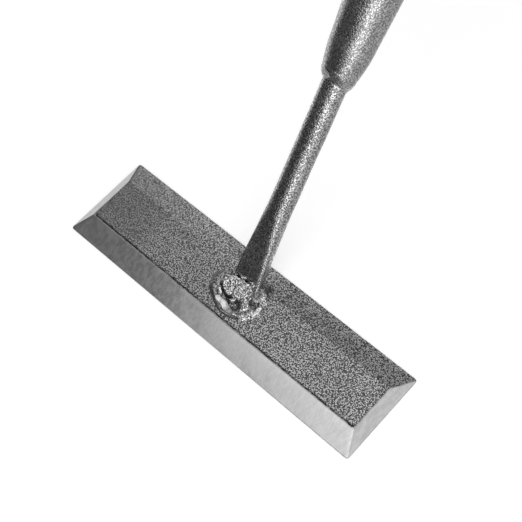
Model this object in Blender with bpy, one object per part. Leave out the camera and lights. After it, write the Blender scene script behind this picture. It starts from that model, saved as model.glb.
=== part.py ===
"""Dutch hoe: a bevelled blade, a round neck with a chisel foot, a swaged socket and an ash handle.

The blade lies flat with its sole on the ground and its long edges along X. The cutting edge faces -Y
and the handle rises towards +Y. The origin is the middle of the sole. Sizes are in metres.
"""

import math

import bmesh
import bpy
from mathutils import Matrix, Vector

MM = 0.001
MERGE_DISTANCE = 0.001 * MM

# Play between two pieces that touch on the real tool
CONTACT_GAP = 0.3 * MM

# Blade
BLADE_LENGTH = 150 * MM
BLADE_WIDTH = 40 * MM
BLADE_THICKNESS = 4.2 * MM
EDGE_LAND = 0.4 * MM
FRONT_BEVEL = 9.2 * MM
BACK_BEVEL = 10.2 * MM
END_BEVEL = 4.8 * MM
SOLE_CORNER_RADIUS = 1.2 * MM
FACE_CORNER_RADIUS = 1.6 * MM

# Neck
SHAFT_ANGLE = math.radians(51.3)
FOOT_BACK_OFFSET = 7.6 * MM
FOOT_WIDTH = 13.2 * MM
FOOT_FRONT = 2.65 * MM
FOOT_LENGTH = 36 * MM
FOOT_FLARE = 1.3
FOOT_SQUARENESS = 6.0
ROUND_SECTION = 2.0
NECK_RADIUS = 4.95 * MM
NECK_TOP_RADIUS = 4.85 * MM
ROOT_COVER = 1.0 * MM
NECK_TENON = 16 * MM
NECK_TENON_CHAMFER = 0.8 * MM

# Weld that holds the neck to the blade
PUDDLE_CENTRE_X = 0.5 * MM
PUDDLE_CENTRE_Y = 0.5 * MM
PUDDLE_HALF_LENGTH = 13.3 * MM
PUDDLE_HALF_WIDTH = 9.6 * MM
PUDDLE_HEIGHT = 2.5 * MM
PUDDLE_LUMP = 0.08
PUDDLE_LUMPS = 4
# Waves of the puddle's rim: how many go round it, where they start and how far they reach
RIM_WAVES = ((1, 0.3, 0.045), (2, 1.6, 0.02), (3, -0.8, 0.05))
# The puddle's section from its toe to its crown: share of its radius and of its height
PUDDLE_SECTION = (
    (1.0, 0.06),
    (0.95, 0.16),
    (0.91, 0.38),
    (0.86, 0.70),
    (0.80, 0.88),
    (0.70, 0.97),
    (0.56, 1.0),
    (0.40, 0.95),
    (0.24, 0.97),
    (0.10, 1.0),
)
PUDDLE_CLIMB = 3.0 * MM
CLIMB_REACH = 5.0 * MM
CRATER_OFFSET_X = 3.3 * MM
CRATER_OFFSET_Y = -4.5 * MM
CRATER_RADIUS = 1.8 * MM
CRATER_DEPTH = 1.2 * MM

# Socket
NOSE_HEIGHT = 92.5 * MM
NOSE_SKEW = 2.5 * MM
NOSE_WALL = 0.95 * MM
SHOULDER_RISE = 16 * MM
SHOULDER_RADIUS = 8.5 * MM
SHOULDER_CURVE = 1.5
SOCKET_LENGTH = 136 * MM
SOCKET_WALL = 1.5 * MM
MOUTH_LIP = 0.4 * MM

# Weld that closes the socket's nose on the neck
BEAD_LENGTH = 4.2 * MM
BEAD_BULGE = 0.35 * MM
BEAD_RIPPLE = 0.12 * MM
BEAD_RIPPLES = 9
BEAD_TOE = 0.3 * MM

# Handle
HANDLE_RADIUS = 14.0 * MM
HANDLE_LENGTH = 1500 * MM
TENON_CLEARANCE = 5 * MM
TENON_CHAMFER = 1.5 * MM
BUTT_DOME = 10 * MM
BUTT_FLAT_RADIUS = 6 * MM

# Screw that keeps the handle in the socket
SCREW_FROM_MOUTH = 18 * MM
SCREW_SHANK_RADIUS = 2.0 * MM
SCREW_SHANK_LENGTH = 16 * MM
SCREW_POINT = 4 * MM
SCREW_TIP_RADIUS = 0.4 * MM
SCREW_HEAD_RADIUS = 3.9 * MM
SCREW_HEAD_HEIGHT = 2.3 * MM
SCREW_HEAD_RIM = 0.6 * MM
SLOT_WIDTH = 1.0 * MM
SLOT_DEPTH = 1.1 * MM

# Facets
CORNER_STEPS = 6
NECK_SIDES = 40
PUDDLE_SIDES = 48
SOCKET_SIDES = 40
HANDLE_SIDES = 32
SCREW_SIDES = 20
DOME_STEPS = 5

# Places that follow from the sizes above, along the shaft from its foot on the blade
NOSE_TIP = NOSE_HEIGHT - NOSE_SKEW
SHOULDER_HEIGHT = NOSE_TIP + SHOULDER_RISE
MOUTH_HEIGHT = NOSE_HEIGHT + SOCKET_LENGTH
MOUTH_RADIUS = HANDLE_RADIUS + CONTACT_GAP + SOCKET_WALL
NECK_TOP = NOSE_HEIGHT + NECK_TENON
HANDLE_START = NECK_TOP + TENON_CLEARANCE
HANDLE_TOP = HANDLE_START + HANDLE_LENGTH
SCREW_HEIGHT = MOUTH_HEIGHT - SCREW_FROM_MOUTH


def clear_scene():
    for obj in list(bpy.data.objects):
        bpy.data.objects.remove(obj)


def make_material(name, colour, roughness, metallic):
    made = bpy.data.materials.new(name)
    made.use_nodes = True
    shader = made.node_tree.nodes["Principled BSDF"]
    shader.inputs["Base Color"].default_value = (*colour, 1.0)
    shader.inputs["Roughness"].default_value = roughness
    shader.inputs["Metallic"].default_value = metallic
    made.diffuse_color = (*colour, 1.0)
    return made


def blend(start, end, share):
    return start + (end - start) * share


def smooth_step(share):
    share = min(1.0, max(0.0, share))
    return share * share * (3 - 2 * share)


def finish_object(name, bm, material, parent=None, sharp=30):
    """Turns a bmesh into a smooth-shaded object with sharp edges where faces turn by sharp degrees."""
    bmesh.ops.recalc_face_normals(bm, faces=bm.faces)
    mesh = bpy.data.meshes.new(name)
    bm.to_mesh(mesh)
    bm.free()
    obj = bpy.data.objects.new(name, mesh)
    bpy.context.scene.collection.objects.link(obj)
    if material is not None:
        mesh.materials.append(material)
    mesh.shade_smooth()
    mesh.set_sharp_from_angle(angle=math.radians(sharp))
    obj.parent = parent
    return obj


def loft(rings, closed=False):
    """A skin over rings with equal numbers of points: capped at both ends, or closed into a loop."""
    bm = bmesh.new()
    loops = [[bm.verts.new(point) for point in ring] for ring in rings]
    pairs = list(zip(loops, loops[1:]))
    if closed:
        pairs.append((loops[-1], loops[0]))
    for lower, upper in pairs:
        for i in range(len(lower)):
            bm.faces.new((lower[i - 1], lower[i], upper[i], upper[i - 1]))
    if not closed:
        bm.faces.new(loops[0])
        bm.faces.new(loops[-1])
    return bm


def turned(profile, sides):
    """A solid of revolution about Z. The profile starts and ends on the axis."""
    bm = bmesh.new()
    verts = [bm.verts.new((radius, 0, height)) for radius, height in profile]
    edges = [bm.edges.new(pair) for pair in zip(verts, verts[1:])]
    bmesh.ops.spin(
        bm,
        geom=verts + edges,
        axis=(0, 0, 1),
        cent=(0, 0, 0),
        steps=sides,
        angle=2 * math.pi,
        use_merge=True,
    )
    bmesh.ops.remove_doubles(bm, verts=bm.verts, dist=MERGE_DISTANCE)
    return bm


def cut_away(obj, cutter):
    modifier = obj.modifiers.new("cut_by_" + cutter.name, "BOOLEAN")
    modifier.operation = "DIFFERENCE"
    modifier.object = cutter


def make_cutter(name, bm, parent=None):
    cutter = finish_object(name, bm, None, parent)
    cutter.hide_render = True
    cutter.display_type = "WIRE"
    return cutter


# Blade


def rounded_rectangle(front, back, half_length, height, radius):
    """A ring of points round a rectangle with round corners, from the front right corner."""
    centres = (
        Vector((half_length - radius, front + radius, height)),
        Vector((half_length - radius, back - radius, height)),
        Vector((radius - half_length, back - radius, height)),
        Vector((radius - half_length, front + radius, height)),
    )
    ring = []
    for corner, centre in enumerate(centres):
        for step in range(CORNER_STEPS + 1):
            angle = (corner - 1 + step / CORNER_STEPS) * math.pi / 2
            ring.append(centre + radius * Vector((math.cos(angle), math.sin(angle), 0)))
    return ring


def blade_rings(grow):
    """The blade's outline at the sole, above the edge land and on the face, enlarged by grow."""
    half_length = BLADE_LENGTH / 2 + grow
    half_width = BLADE_WIDTH / 2 + grow
    sole_radius = SOLE_CORNER_RADIUS + grow
    outline = (-half_width, half_width, half_length)
    face = (
        FRONT_BEVEL - half_width,
        half_width - BACK_BEVEL,
        half_length - END_BEVEL,
    )
    return [
        rounded_rectangle(*outline, -grow, sole_radius),
        rounded_rectangle(*outline, EDGE_LAND, sole_radius),
        rounded_rectangle(*face, BLADE_THICKNESS + grow, FACE_CORNER_RADIUS + grow),
    ]


# Neck


def forged_point(angle, half_width, front, back, squareness):
    """A point of a section with a round back, whose front is round at squareness 2, flatter above."""
    across, through = math.cos(angle), math.sin(angle)
    if through < 0:
        power, depth = 2 / squareness, front
    else:
        power, depth = 2 / ROUND_SECTION, back
    x = half_width * math.copysign(abs(across) ** power, across)
    y = depth * math.copysign(abs(through) ** power, through)
    return x, y


def neck_radius(height):
    share = (height - FOOT_LENGTH) / (NECK_TOP - FOOT_LENGTH)
    return blend(NECK_RADIUS, NECK_TOP_RADIUS, min(1.0, max(0.0, share)))


def neck_point(angle, height, grow):
    """A point of the neck's skin: its section is flat in front at the foot and round above it."""
    up_foot = min(1.0, max(0.0, height / FOOT_LENGTH))
    radius = neck_radius(height)
    flare = (FOOT_WIDTH / 2 - radius) * (1 - up_foot) ** FOOT_FLARE
    x, y = forged_point(
        angle,
        half_width=radius + flare + grow,
        front=blend(FOOT_FRONT, radius, up_foot) + grow,
        back=radius + grow,
        squareness=blend(FOOT_SQUARENESS, ROUND_SECTION, up_foot),
    )
    return Vector((x, y, height))


def root_height(angle, grow):
    """Height up the shaft at which the foot's skin reaches the level of its root in the blade."""
    below_face = ROOT_COVER - BLADE_THICKNESS
    leaning = neck_point(angle, 0, grow).y * math.cos(SHAFT_ANGLE)
    return (below_face + leaning) / math.sin(SHAFT_ANGLE)


def neck_rings(grow):
    """Rings from a level root in the blade, whose shape then trims the foot, to the top."""
    foot_steps, stem_steps = 12, 4
    angles = [2 * math.pi * step / NECK_SIDES for step in range(NECK_SIDES)]
    rings = []
    for step in range(foot_steps):
        share = step / foot_steps
        rings.append(
            [
                neck_point(angle, blend(root_height(angle, grow), FOOT_LENGTH, share), grow)
                for angle in angles
            ]
        )
    stem_top = NECK_TOP - NECK_TENON_CHAMFER
    for step in range(stem_steps + 1):
        height = blend(FOOT_LENGTH, stem_top, step / stem_steps)
        rings.append([neck_point(angle, height, grow) for angle in angles])
    end = NECK_TOP_RADIUS - NECK_TENON_CHAMFER + grow
    top = NECK_TOP + grow
    rings.append(
        [Vector((end * math.cos(angle), end * math.sin(angle), top)) for angle in angles]
    )
    return rings


# Weld puddle


def puddle_outline(angle):
    """How far the puddle's rim lies from an even oval, as a factor, round the weld."""
    return 1 + sum(reach * math.sin(count * angle + start) for count, start, reach in RIM_WAVES)


def climb(x, y):
    """How far the weld has run up the neck, from 0 well away from it to 1 against its front."""
    front_line = FOOT_BACK_OFFSET - FOOT_FRONT / math.sin(SHAFT_ANGLE)
    ahead = max(0.0, front_line - y)
    aside = abs(x) / (FOOT_WIDTH / 2)
    return math.exp(-((ahead / CLIMB_REACH) ** 2)) * math.exp(-(aside**4) / 2)


def crater_dip(x, y):
    """The dip that the arc leaves where the weld ends."""
    distance = math.hypot(x - CRATER_OFFSET_X, y - CRATER_OFFSET_Y)
    return CRATER_DEPTH * math.exp(-((distance / CRATER_RADIUS) ** 2))


def puddle_height(angle, share, rise, place):
    """Height of the puddle's skin above the blade's face at one place on it."""
    lump = 1 + PUDDLE_LUMP * share * math.sin(PUDDLE_LUMPS * angle + 1)
    mound = PUDDLE_HEIGHT * lump - crater_dip(place.x - PUDDLE_CENTRE_X, place.y - PUDDLE_CENTRE_Y)
    return mound * rise + PUDDLE_CLIMB * climb(place.x, place.y) * smooth_step(rise)


def puddle_rings():
    """Rings of a flat-topped mound with a thin toe, from inside the blade to its crown."""
    rings = []
    for share, rise in ((1.0, None), *PUDDLE_SECTION):
        ring = []
        for step in range(PUDDLE_SIDES):
            angle = 2 * math.pi * step / PUDDLE_SIDES
            reach = share * puddle_outline(angle)
            place = Vector(
                (
                    PUDDLE_CENTRE_X + PUDDLE_HALF_LENGTH * reach * math.cos(angle),
                    PUDDLE_CENTRE_Y + PUDDLE_HALF_WIDTH * reach * math.sin(angle),
                    ROOT_COVER,
                )
            )
            if rise is not None:
                place.z = BLADE_THICKNESS + puddle_height(angle, share, rise, place)
            ring.append(place)
        rings.append(ring)
    return rings


# Socket


def nose_end(angle):
    """Height of the socket's oblique lower end. Angle 0 is the upper side of the shaft."""
    return NOSE_HEIGHT + NOSE_SKEW * math.cos(angle)


def socket_outer_radius(height):
    if height >= SHOULDER_HEIGHT:
        share = (height - SHOULDER_HEIGHT) / (MOUTH_HEIGHT - SHOULDER_HEIGHT)
        return blend(SHOULDER_RADIUS, MOUTH_RADIUS, share)
    share = max(0.0, (height - NOSE_TIP) / (SHOULDER_HEIGHT - NOSE_TIP))
    nose_radius = neck_radius(NOSE_TIP) + CONTACT_GAP + NOSE_WALL
    return blend(nose_radius, SHOULDER_RADIUS, 1 - (1 - share) ** SHOULDER_CURVE)


def socket_inner_radius(height):
    """The bore: a wall's thickness inside the skin, but never tighter than the neck."""
    least = neck_radius(height) + CONTACT_GAP
    return max(least, socket_outer_radius(height) - SOCKET_WALL)


def shaft_point(radius, angle, height):
    return Vector((radius * math.sin(angle), -radius * math.cos(angle), height))


def socket_ring(height_at, radius_at):
    ring = []
    for step in range(SOCKET_SIDES):
        angle = 2 * math.pi * step / SOCKET_SIDES
        height = height_at(angle)
        ring.append(shaft_point(radius_at(height), angle, height))
    return ring


def socket_rings():
    """Up the outside from the oblique nose to the mouth, and down the bore again."""
    nose_steps = 7

    def nose_height(share):
        return lambda angle: blend(nose_end(angle), SHOULDER_HEIGHT, share)

    def level(height):
        return lambda angle: height

    def wall_at_lip(side):
        return lambda height: blend(
            socket_outer_radius(height), socket_inner_radius(height), side
        )

    shares = [step / nose_steps for step in range(nose_steps + 1)]
    rings = [socket_ring(nose_height(share), socket_outer_radius) for share in shares]
    lip_side = MOUTH_LIP / SOCKET_WALL
    rings.append(socket_ring(level(MOUTH_HEIGHT - MOUTH_LIP), socket_outer_radius))
    rings.append(socket_ring(level(MOUTH_HEIGHT), wall_at_lip(lip_side)))
    rings.append(socket_ring(level(MOUTH_HEIGHT), socket_inner_radius))
    rings += [
        socket_ring(nose_height(share), socket_inner_radius) for share in reversed(shares)
    ]
    return rings


# Weld bead


def bead_section(angle):
    """The bead's own outline at one place round the neck, against the nose above it."""
    top = nose_end(angle) - CONTACT_GAP
    bottom = nose_end(angle) - BEAD_LENGTH
    inner = neck_radius(bottom) + CONTACT_GAP
    nose = socket_outer_radius(nose_end(angle))
    ripple = BEAD_RIPPLE * math.sin(BEAD_RIPPLES * angle)
    crown = BEAD_BULGE * (1 + math.cos(angle)) / 2 + ripple
    steps = 4
    section = [(inner, bottom)]
    for step in range(steps + 1):
        share = step / steps
        swell = math.sin(math.pi * share)
        radius = blend(inner + BEAD_TOE, nose, share) + crown * swell
        section.append((radius, blend(bottom + BEAD_TOE, top, share)))
    section.append((inner, top))
    return [shaft_point(radius, angle, height) for radius, height in section]


def bead_rings():
    return [bead_section(2 * math.pi * step / SOCKET_SIDES) for step in range(SOCKET_SIDES)]


# Handle


def handle_profile():
    """Radius and height from the tenon's end in the socket to the rounded butt."""
    tip_radius = socket_inner_radius(HANDLE_START) - CONTACT_GAP
    above_chamfer = HANDLE_START + TENON_CHAMFER
    profile = [
        (0, HANDLE_START),
        (tip_radius - TENON_CHAMFER, HANDLE_START),
        (socket_inner_radius(above_chamfer) - CONTACT_GAP, above_chamfer),
        (HANDLE_RADIUS, MOUTH_HEIGHT),
    ]
    dome_base = HANDLE_TOP - BUTT_DOME
    for step in range(DOME_STEPS + 1):
        angle = math.pi / 2 * step / DOME_STEPS
        radius = blend(BUTT_FLAT_RADIUS, HANDLE_RADIUS, math.cos(angle))
        profile.append((radius, dome_base + BUTT_DOME * math.sin(angle)))
    profile.append((0, HANDLE_TOP))
    return profile


# Screw


def screw_profile():
    """Radius and height of the screw, standing on its point with the head's seat at height 0."""
    profile = [
        (0, -SCREW_SHANK_LENGTH),
        (SCREW_TIP_RADIUS, -SCREW_SHANK_LENGTH),
        (SCREW_SHANK_RADIUS, SCREW_POINT - SCREW_SHANK_LENGTH),
        (SCREW_SHANK_RADIUS, 0),
        (SCREW_HEAD_RADIUS, 0),
    ]
    for step in range(DOME_STEPS):
        angle = math.pi / 2 * step / DOME_STEPS
        dome = (SCREW_HEAD_HEIGHT - SCREW_HEAD_RIM) * math.sin(angle)
        profile.append((SCREW_HEAD_RADIUS * math.cos(angle), SCREW_HEAD_RIM + dome))
    profile.append((0, SCREW_HEAD_HEIGHT))
    return profile


def screw_seat():
    """How far the screw head's seat lies from the shaft's axis, clear of the flaring socket."""
    return socket_outer_radius(SCREW_HEIGHT + SCREW_HEAD_RADIUS) + CONTACT_GAP


def box(size, centre):
    bm = bmesh.new()
    bmesh.ops.create_cube(
        bm, size=1, matrix=Matrix.Translation(centre) @ Matrix.Diagonal((*size, 1))
    )
    return bm


def stand_across_shaft(obj):
    """Lays a piece modelled along Z across the shaft, with its head on the upper side."""
    obj.location = (0, -screw_seat(), SCREW_HEIGHT)
    obj.rotation_euler = (math.pi / 2, 0, 0)


def make_hoe():
    clear_scene()
    paint = make_material("hammertone_paint", (0.16, 0.16, 0.16), 0.35, 0.6)
    ash = make_material("ash_wood", (0.62, 0.42, 0.22), 0.45, 0.0)
    bright = make_material("zinc_plate", (0.62, 0.63, 0.64), 0.3, 1.0)

    shaft = bpy.data.objects.new("shaft_axis", None)
    bpy.context.scene.collection.objects.link(shaft)
    shaft.location = (0, FOOT_BACK_OFFSET, BLADE_THICKNESS)
    shaft.rotation_euler = (SHAFT_ANGLE - math.pi / 2, 0, 0)

    finish_object("blade", loft(blade_rings(0)), paint, sharp=16)
    blade_room = make_cutter("room_for_blade", loft(blade_rings(CONTACT_GAP)))

    neck = finish_object("neck", loft(neck_rings(0)), paint, shaft, sharp=50)
    cut_away(neck, blade_room)
    neck_room = make_cutter("room_for_neck", loft(neck_rings(CONTACT_GAP)), shaft)

    puddle = finish_object("blade_weld", loft(puddle_rings()), paint, sharp=60)
    cut_away(puddle, blade_room)
    cut_away(puddle, neck_room)

    socket = finish_object("socket", loft(socket_rings(), closed=True), paint, shaft)
    finish_object("socket_weld", loft(bead_rings(), closed=True), paint, shaft)
    handle = finish_object("handle", turned(handle_profile(), HANDLE_SIDES), ash, shaft)

    screw = finish_object("handle_screw", turned(screw_profile(), SCREW_SIDES), bright, shaft)
    stand_across_shaft(screw)
    slot_size = (2 * SCREW_HEAD_RADIUS + SLOT_WIDTH, SLOT_WIDTH, 2 * SLOT_DEPTH)
    slot = make_cutter("screw_slot", box(slot_size, (0, 0, SCREW_HEAD_HEIGHT)), shaft)
    stand_across_shaft(slot)
    cut_away(screw, slot)

    hole_depth = SCREW_SHANK_LENGTH + CONTACT_GAP
    hole_radius = SCREW_SHANK_RADIUS + CONTACT_GAP
    hole = [
        (0, -hole_depth),
        (hole_radius, -hole_depth),
        (hole_radius, SOCKET_WALL),
        (0, SOCKET_WALL),
    ]
    screw_room = make_cutter("room_for_screw", turned(hole, SCREW_SIDES), shaft)
    stand_across_shaft(screw_room)
    cut_away(socket, screw_room)
    cut_away(handle, screw_room)


make_hoe()
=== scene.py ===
"""Dresses the dutch hoe: a ground and painted head, its welds, an ash handle and a pale studio.

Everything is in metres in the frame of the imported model. The blade lies flat along X, its cutting edge
faces -Y and the shaft rises towards +Y. Pieces on the shaft are modelled upright along Z and are laid
on the shaft's axis when they are done.
"""

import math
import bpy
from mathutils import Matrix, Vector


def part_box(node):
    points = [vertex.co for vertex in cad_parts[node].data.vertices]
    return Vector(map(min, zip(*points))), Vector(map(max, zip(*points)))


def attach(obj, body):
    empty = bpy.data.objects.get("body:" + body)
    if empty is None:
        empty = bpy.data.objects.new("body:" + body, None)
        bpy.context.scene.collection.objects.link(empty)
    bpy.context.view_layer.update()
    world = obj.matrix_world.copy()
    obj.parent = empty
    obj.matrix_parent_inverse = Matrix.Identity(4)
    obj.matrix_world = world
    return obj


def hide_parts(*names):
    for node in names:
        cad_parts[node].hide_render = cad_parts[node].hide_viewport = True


bl_info = {
    "name": "Dutch Hoe",
    "version": (1, 0, 0),
    "blender": (4, 5, 0),
    "location": "3D View > Sidebar > Hoe",
    "description": "Models and finishes the head, the handle and the studio of a dutch hoe",
    "category": "Object",
}

from collections import namedtuple

import bmesh
import bpy
from bpy.props import FloatProperty, FloatVectorProperty, PointerProperty
from bpy.types import Operator, Panel, PropertyGroup
from mathutils import Matrix, Vector, noise

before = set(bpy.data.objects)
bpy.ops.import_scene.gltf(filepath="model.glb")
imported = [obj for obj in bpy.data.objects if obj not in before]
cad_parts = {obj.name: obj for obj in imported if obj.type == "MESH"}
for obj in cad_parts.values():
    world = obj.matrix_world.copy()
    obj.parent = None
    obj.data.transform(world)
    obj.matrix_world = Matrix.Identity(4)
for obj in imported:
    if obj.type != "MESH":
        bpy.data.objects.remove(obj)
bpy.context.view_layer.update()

MM = 0.001
BLADE_LOW, BLADE_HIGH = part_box("blade")

# The shaft's axis: it starts on the blade's face and leans back towards +Y
SHAFT_ANGLE = math.radians(51.3)
SHAFT_FOOT = Vector((0, 7.6 * MM, BLADE_HIGH[2]))
SHAFT_TURN = (SHAFT_ANGLE - math.pi / 2, 0, 0)

# Camera
CAMERA_PLACE = Vector((0.1530, -0.0982, 0.3720))
CAMERA_RIGHT = Vector((0.7311, 0.6755, -0.0953))
CAMERA_UP = Vector((-0.5709, 0.6823, 0.4566))
CAMERA_BACK = Vector((0.3735, -0.2794, 0.8846))
CAMERA_LENS = 72.48
SENSOR_WIDTH = 36

# Middle of the painted shade in the corner between the foot and the blade
SHADED_CORNER = Vector((8.0 * MM, 10.0 * MM, BLADE_HIGH[2]))

# What the lamps face
HEAD_MIDDLE = Vector((0, 0.03, 0.03))

# Play between pieces that are welded or driven together on the real tool
PLAY = 0.3 * MM

# Nearly all of a soft noise lies between these values
SOFT_NOISE = (0.3, 0.7)

# How the paint lies on the shaft: how thick, and how far its cells stand out
NECK_PAINT = {"relief": 1.3, "contrast": 0.9}
SOCKET_PAINT = {"relief": 1.5, "contrast": 0.66}


def length(name, description, millimetres):
    return FloatProperty(
        name=name,
        description=description,
        default=millimetres * MM,
        min=0,
        precision=5,
        unit="LENGTH",
    )


def colour(name, description, value):
    return FloatVectorProperty(
        name=name, description=description, default=value, min=0, max=1, size=3, subtype="COLOR"
    )


class BladeSizes(PropertyGroup):
    edge_land: length("Edge land", "Height of the blunt edge round the sole", 0.4)
    front_bevel: length("Front bevel", "Depth of the ground cutting bevel", 9.2)
    back_bevel: length("Back bevel", "Depth of the painted bevel behind", 10.2)
    end_bevel: length("End bevel", "Length of the ground bevel at each end", 4.8)
    corner_radius: length("Corner radius", "Radius of the corners of the outline", 1.1)
    ridge: length("Ridge", "Width that the grinding leaves on each ridge", 0.35)
    waviness: length("Waviness", "How far hand grinding leaves the faces uneven", 0.07)
    grid: length("Grid", "Distance between the cuts that let the faces run uneven", 1.5)


class NeckSizes(PropertyGroup):
    root_cover: length("Root cover", "Steel left under the root of the foot", 1.0)
    foot_width: length("Foot width", "Width of the forged foot across the shaft", 13.2)
    foot_front: length("Foot front", "Depth of the flat front of the foot", 2.65)
    foot_length: length("Foot length", "Length of the forged foot", 36)
    radius: length("Radius", "Radius of the round neck above its foot", 4.95)
    top_radius: length("Top radius", "Radius of the neck in the socket", 4.85)
    unevenness: length("Unevenness", "How far forging leaves the surface uneven", 0.16)


class WeldSizes(PropertyGroup):
    centre: length("Centre", "Middle of the puddle, along and across the blade", 0.5)
    half_length: length("Half length", "Reach of the puddle along the blade", 13.3)
    half_width: length("Half width", "Reach of the puddle across the blade", 9.6)
    height: length("Height", "Height of the puddle above the face", 1.4)
    bead_length: length("Bead length", "Length of the bead under the socket's nose", 4.2)
    bead_bulge: length("Bead bulge", "How far the bead stands out", 0.25)


class SocketSizes(PropertyGroup):
    nose_height: length("Nose height", "Place of the nose along the shaft", 92.5)
    nose_skew: length("Nose skew", "How far the nose's end lies oblique", 2.5)
    nose_wall: length("Nose wall", "Wall at the nose", 0.95)
    shoulder_rise: length("Shoulder rise", "Length of the swaged shoulder", 16)
    shoulder_radius: length("Shoulder radius", "Radius where the cone begins", 8.5)
    total: length("Length", "Length of the socket", 136)
    wall: length("Wall", "Wall of the tube", 1.5)
    lip: length("Lip", "Rounding of the mouth", 0.6)


class HandleSizes(PropertyGroup):
    radius: length("Radius", "Radius of the ash shaft", 13.95)
    start: length("Start", "Place of the tenon's end along the shaft", 113.5)
    total: length("Length", "Length of the handle", 1499.8)
    dome: length("Dome", "Height of the rounded butt", 10)
    butt_flat: length("Butt flat", "Radius of the flat left on the butt", 6)
    growth_ring: length("Growth ring", "Distance between two growth rings", 2.6)


class ScrewSizes(PropertyGroup):
    from_mouth: length("From mouth", "Distance of the screw from the socket's mouth", 18)
    shank: length("Shank", "Radius of the shank", 2.0)
    head_radius: length("Head radius", "Radius of the round head", 3.9)
    head_height: length("Head height", "Height of the round head", 2.3)
    head_rim: length("Head rim", "Height of the straight rim of the head", 0.6)
    slot_width: length("Slot width", "Width of the driving slot", 1.0)
    slot_depth: length("Slot depth", "Depth of the driving slot", 1.1)


class Finishes(PropertyGroup):
    paint_light: colour("Paint domes", "Silvery top of a hammertone cell", (0.85, 0.85, 0.85))
    paint_dark: colour("Paint seams", "Dark pigment between the cells", (0.12, 0.12, 0.12))
    cell: length("Cell", "Size of a hammertone cell", 0.53)
    cell_depth: length("Cell depth", "Height of a cell above its seams", 0.035)
    steel: colour("Bare steel", "Freshly ground steel", (0.60, 0.60, 0.60))
    ash: colour("Ash", "Late wood of the handle", (0.56, 0.37, 0.19))
    ash_light: colour("Ash light", "Early wood of the handle", (0.72, 0.54, 0.33))
    zinc: colour("Zinc", "Plating on the screw", (0.62, 0.63, 0.64))
    floor: colour("Floor", "Studio paper", (0.86, 0.86, 0.86))


def settings():
    return bpy.context.scene.hoe


# Modelling helpers


def deselect():
    if bpy.context.object and bpy.context.object.mode != "OBJECT":
        bpy.ops.object.mode_set(mode="OBJECT")
    bpy.ops.object.select_all(action="DESELECT")


def select(obj):
    deselect()
    obj.select_set(True)
    bpy.context.view_layer.objects.active = obj


def name_new(name):
    obj = bpy.context.object
    obj.name = name
    obj.data.name = name
    return obj


def pick(kind, test):
    """In edit mode, selects the faces or the edges that pass the test and nothing else."""
    modes = {"faces": "FACE", "edges": "EDGE"}
    bpy.ops.mesh.select_mode(type=modes[kind])
    bpy.ops.mesh.select_all(action="DESELECT")
    mesh = bpy.context.edit_object.data
    bm = bmesh.from_edit_mesh(mesh)
    for part in getattr(bm, kind):
        if test(part):
            part.select_set(True)
    bm.select_flush_mode()
    bmesh.update_edit_mesh(mesh)


def extrude(rise, scale=(1, 1, 1)):
    """Pulls the selection straight up and then scales it about the axis."""
    bpy.ops.mesh.extrude_region_move(TRANSFORM_OT_translate={"value": (0, 0, rise)})
    if scale != (1, 1, 1):
        bpy.ops.transform.resize(value=scale, center_override=(0, 0, 0))


def shaped_tube(name, sides, rings, place, joined=False):
    """A tube whose points lie at place(ring, angle), its ends capped, or joined to each other."""
    deselect()
    bpy.ops.mesh.primitive_circle_add(vertices=sides, radius=1)
    tube = name_new(name)
    bpy.ops.object.mode_set(mode="EDIT")
    bpy.ops.mesh.select_mode(type="EDGE")
    bpy.ops.mesh.select_all(action="SELECT")
    for _ in range(rings - 1):
        extrude(1)
    bpy.ops.object.mode_set(mode="OBJECT")
    for vertex in tube.data.vertices:
        angle = math.atan2(vertex.co.y, vertex.co.x)
        vertex.co = place(round(vertex.co.z), angle)
    select(tube)
    bpy.ops.object.mode_set(mode="EDIT")
    pick("edges", lambda edge: edge.is_boundary)
    if joined:
        bpy.ops.mesh.bridge_edge_loops()
    else:
        bpy.ops.mesh.edge_face_add()
    bpy.ops.mesh.select_all(action="SELECT")
    bpy.ops.mesh.normals_make_consistent(inside=False)
    bpy.ops.object.mode_set(mode="OBJECT")
    return tube


def apply_modifier(obj, kind, **values):
    select(obj)
    modifier = obj.modifiers.new(kind.title(), kind)
    for key, value in values.items():
        setattr(modifier, key, value)
    bpy.ops.object.modifier_apply(modifier=modifier.name)


def roughen(obj, size, depth, strength, group=""):
    """Leaves a surface as uneven as the hammer, the grinder or the lathe does."""
    cloud = bpy.data.textures.new(obj.name + "_unevenness", "CLOUDS")
    cloud.noise_scale = size
    cloud.noise_depth = depth
    apply_modifier(
        obj,
        "DISPLACE",
        texture=cloud,
        texture_coords="LOCAL",
        strength=strength,
        mid_level=0.5,
        vertex_group=group,
    )
    bpy.data.textures.remove(cloud)


def shade(obj, degrees):
    select(obj)
    bpy.ops.object.shade_smooth_by_angle(angle=math.radians(degrees))


def lay_on_shaft(obj):
    select(obj)
    obj.location = SHAFT_FOOT
    obj.rotation_euler = SHAFT_TURN
    bpy.ops.object.transform_apply()


def hand_over(obj, node, slot, *materials):
    """Gives a finished piece its materials and puts it in the place of its solid."""
    for material in materials:
        obj.data.materials.append(material)
    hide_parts(node)
    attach(obj, "root")


def blend(start, end, part):
    return start + (end - start) * part


def limit(value):
    return min(1.0, max(0.0, value))


def smooth_step(value):
    value = limit(value)
    return value * value * (3 - 2 * value)


# Material helpers


def feed(tree, node, inputs):
    """Links or sets each of these inputs of a node."""
    for socket, value in inputs.items():
        if isinstance(value, bpy.types.NodeSocket):
            tree.links.new(value, node.inputs[socket])
        else:
            node.inputs[socket].default_value = value
    return node


def add_node(tree, kind, inputs=None, **options):
    node = tree.nodes.new("ShaderNode" + kind)
    for key, value in options.items():
        setattr(node, key, value)
    return feed(tree, node, inputs or {})


def calculate(tree, operation, *values, clamp=False):
    node = add_node(tree, "Math", dict(enumerate(values)), operation=operation, use_clamp=clamp)
    return node.outputs[0]


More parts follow.
